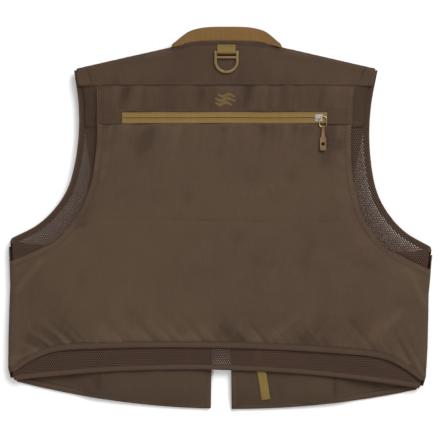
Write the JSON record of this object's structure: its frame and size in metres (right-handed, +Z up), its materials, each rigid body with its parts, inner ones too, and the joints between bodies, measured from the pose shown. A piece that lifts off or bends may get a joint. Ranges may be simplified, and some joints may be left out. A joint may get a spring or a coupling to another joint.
{
  "type": "fishing vest",
  "caption": "Sleeveless fishing vest laid face down: mesh body, zipped back pouch, knit collar, net ring, flap pockets and a sternum buckle.",
  "frame": {"origin": "under the middle of the laid vest, on the surface that it lies on", "axes": "+X across the vest to the wearer's right, +Y towards the collar, +Z up out of the back"},
  "size_m": [0.5947, 0.5355, 0.0296],
  "materials": {
    "shell": "plain-woven nylon, matt",
    "mesh": "open knitted mesh",
    "lining": "plain-woven lining",
    "binding": "folded woven binding, topstitched",
    "knit": "fine rib knit",
    "webbing": "woven nylon webbing",
    "zip_tape": "coated zip tape",
    "zip_coil": "nylon coil",
    "slider_metal": "nickel plated zinc",
    "pull_wire": "bronze-coloured wire",
    "pull_moulding": "moulded nylon",
    "ring_moulding": "moulded acetal",
    "buckle_moulding": "moulded acetal",
    "print": "heat-transfer print",
    "touch_fastener": "hook and loop tape"
  },
  "bodies": {
    "vest": {"back_mesh_body": "mesh", "back_strip": "shell", "back_pouch_panel": "shell", "yoke": "shell", "shoulder_right": "shell", "shoulder_left": "shell", "side_panel_right": "shell", "side_panel_left": "shell", "front_shell_right": "shell", "front_shell_left": "shell", "zip_end_patch_right": "shell", "zip_end_patch_left": "shell", "yoke_lining": "lining", "front_lining_right": "lining", "front_lining_left": "lining", "pouch_hem_binding": "binding", "back_hem_binding": "binding", "armhole_binding_right": "binding", "armhole_binding_left": "binding", "pouch_armhole_binding_right": "binding", "pouch_armhole_binding_left": "binding", "front_hem_binding_right": "binding", "front_hem_binding_left": "binding", "front_edge_binding_right": "binding", "front_edge_binding_left": "binding", "collar": "knit", "inner_webbing_strip": "webbing", "net_ring_webbing": "webbing", "sternum_strap_right": "webbing", "sternum_strap_left": "webbing", "zip_tape_upper": "zip_tape", "zip_tape_lower": "zip_tape", "zip_coil_upper": "zip_coil", "zip_coil_lower": "zip_coil", "zip_stop_right": "slider_metal", "zip_stop_left": "slider_metal", "buckle_socket": "buckle_moulding", "back_emblem": "print", "chest_pocket_right": "shell", "chest_pocket_loop_right": "touch_fastener", "chest_pocket_left": "shell", "chest_pocket_loop_left": "touch_fastener", "lower_pocket_right": "shell", "lower_pocket_loop_right": "touch_fastener", "lower_pocket_left": "shell", "lower_pocket_loop_left": "touch_fastener"},
    "slider": {"zip_slider": "slider_metal"},
    "pull_ring": {"zip_pull_ring": "pull_wire"},
    "pull_tab": {"zip_pull_tab": "pull_moulding"},
    "net_ring": {"net_ring": "ring_moulding"},
    "buckle_plug": {"buckle_plug": "buckle_moulding"},
    "chest_flap_right": {"chest_pocket_flap_right": "shell", "chest_flap_hook_right": "touch_fastener"},
    "chest_flap_left": {"chest_pocket_flap_left": "shell", "chest_flap_hook_left": "touch_fastener"},
    "lower_flap_right": {"lower_pocket_flap_right": "shell", "lower_flap_hook_right": "touch_fastener"},
    "lower_flap_left": {"lower_pocket_flap_left": "shell", "lower_flap_hook_left": "touch_fastener"}
  },
  "joints": [
    {"name": "back_zip_slide", "type": "slide", "parent": "vest", "child": "slider", "axis": [-1, 0, 0], "range_m": [0, 0.262]},
    {"name": "pull_ring_swivel", "type": "hinge", "parent": "slider", "child": "pull_ring", "pos_m": [0.14077, 0.14003, 0.02495], "axis": [0, 0, 1], "range_deg": [-20, 90]},
    {"name": "pull_tab_lift", "type": "hinge", "parent": "pull_ring", "child": "pull_tab", "pos_m": [0.14337, 0.12703, 0.02495], "axis": [-1, 0, 0], "range_deg": [0, 110]},
    {"name": "net_ring_lift", "type": "hinge", "parent": "vest", "child": "net_ring", "pos_m": [0.00862, 0.23155, 0.0264], "axis": [-1, 0, 0], "range_deg": [0, 150]},
    {"name": "buckle_release", "type": "slide", "parent": "vest", "child": "buckle_plug", "axis": [1, 0, 0], "range_m": [0, 0.02], "deforming": ["sternum_strap_right"]},
    {"name": "chest_flap_right_hinge", "type": "hinge", "parent": "vest", "child": "chest_flap_right", "pos_m": [0.09855, 0.10679, 0.0084], "axis": [1, 0, 0], "range_deg": [0, 90]},
    {"name": "chest_flap_left_hinge", "type": "hinge", "parent": "vest", "child": "chest_flap_left", "pos_m": [-0.09145, 0.10871, 0.0084], "axis": [1, 0, 0], "range_deg": [0, 90]},
    {"name": "lower_flap_right_hinge", "type": "hinge", "parent": "vest", "child": "lower_flap_right", "pos_m": [0.09541, -0.10722, 0.0084], "axis": [1, 0, 0], "range_deg": [0, 90]},
    {"name": "lower_flap_left_hinge", "type": "hinge", "parent": "vest", "child": "lower_flap_left", "pos_m": [-0.10159, -0.10328, 0.0084], "axis": [1, 0, 0], "range_deg": [0, 90]}
  ]
}
